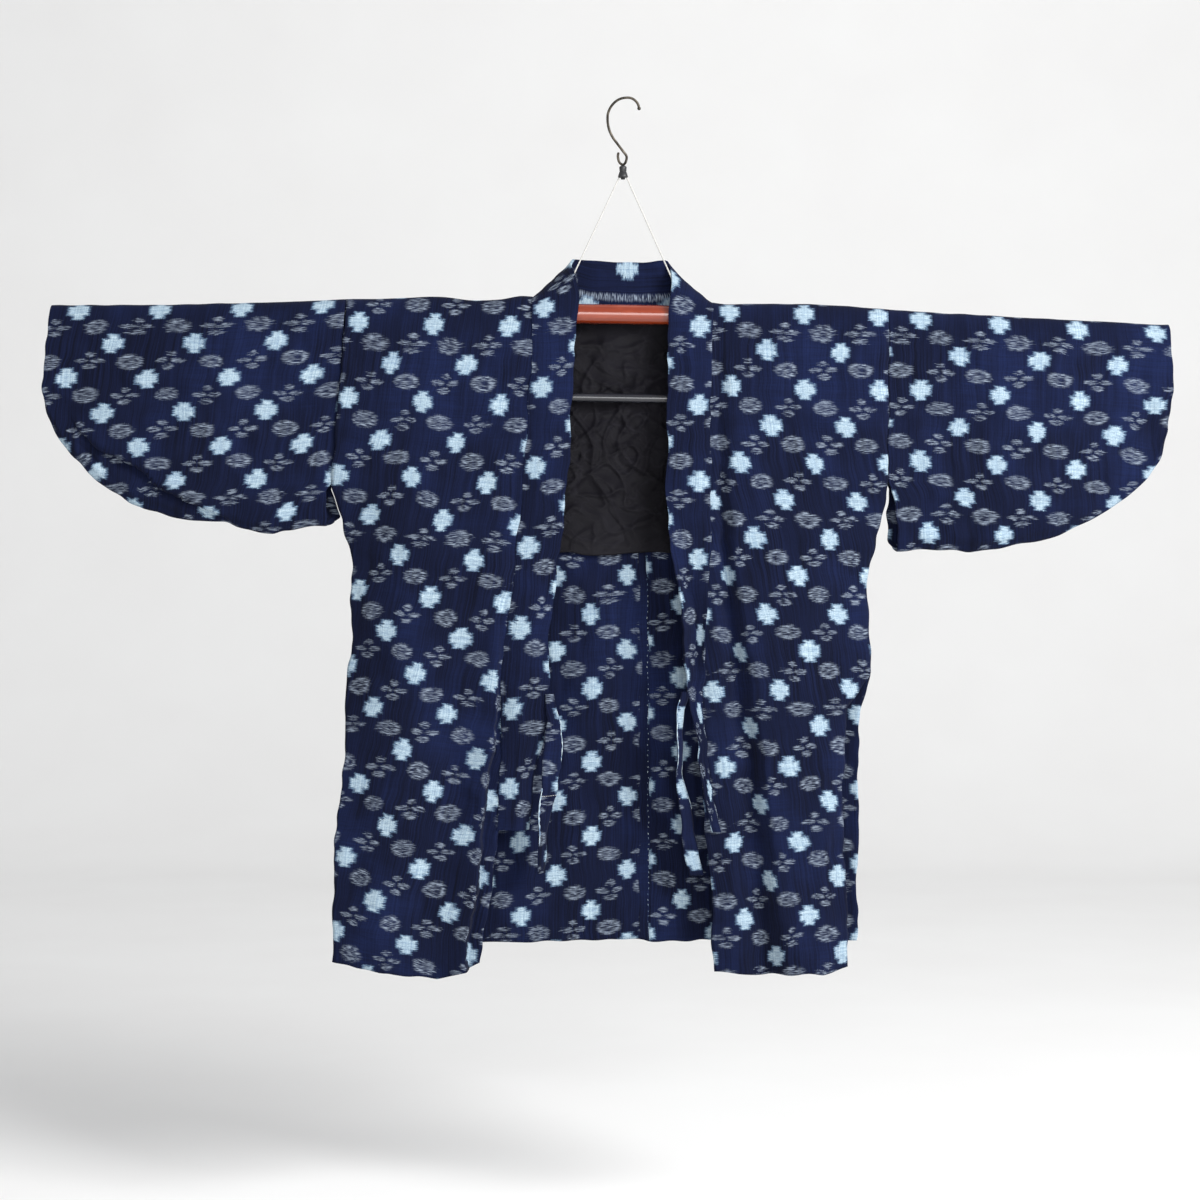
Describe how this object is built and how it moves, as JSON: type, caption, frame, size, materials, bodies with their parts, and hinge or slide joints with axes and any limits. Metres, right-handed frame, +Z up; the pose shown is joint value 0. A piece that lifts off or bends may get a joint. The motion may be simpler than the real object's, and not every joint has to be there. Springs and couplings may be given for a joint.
{
  "type": "noragi jacket on hanger",
  "caption": "Indigo kasuri cotton jacket, open in front, with wide sleeves, a band collar and tie cords, hung flat over a kimono hanger.",
  "frame": {"origin": "seat of the hanger's hook: the underside of its crown, where it hangs", "axes": "+Z up, the jacket's front faces -Y, +X to the viewer's right along the hanger's bar"},
  "size_m": [1.2962, 0.0634, 1.0099],
  "materials": {
    "kasuri_cotton": "matte woven cotton",
    "black_lining": "soft sheen",
    "lacquered_bar": "gloss",
    "dark_tube": "satin gloss",
    "bronze_wire": "dark bronze",
    "black_plastic": "satin",
    "white_cord": "matte"
  },
  "bodies": {
    "root": {"front_left": "kasuri_cotton", "front_right": "kasuri_cotton", "back_left": "kasuri_cotton", "back_right": "kasuri_cotton", "sleeve_left": "kasuri_cotton", "sleeve_right": "kasuri_cotton", "collar": "kasuri_cotton", "tie_left": "kasuri_cotton", "tie_right": "kasuri_cotton", "lining_back": "black_lining", "hanger_hook": "bronze_wire", "hanger_ferrule": "black_plastic", "hanger_cord_left": "white_cord", "hanger_cord_right": "white_cord", "hanger_arm_left": "dark_tube", "hanger_arm_right": "dark_tube", "hanger_bar": "lacquered_bar", "hanger_low_rod": "dark_tube", "hanger_link_left": "black_plastic", "hanger_link_right": "black_plastic"}
  },
  "joints": []
}
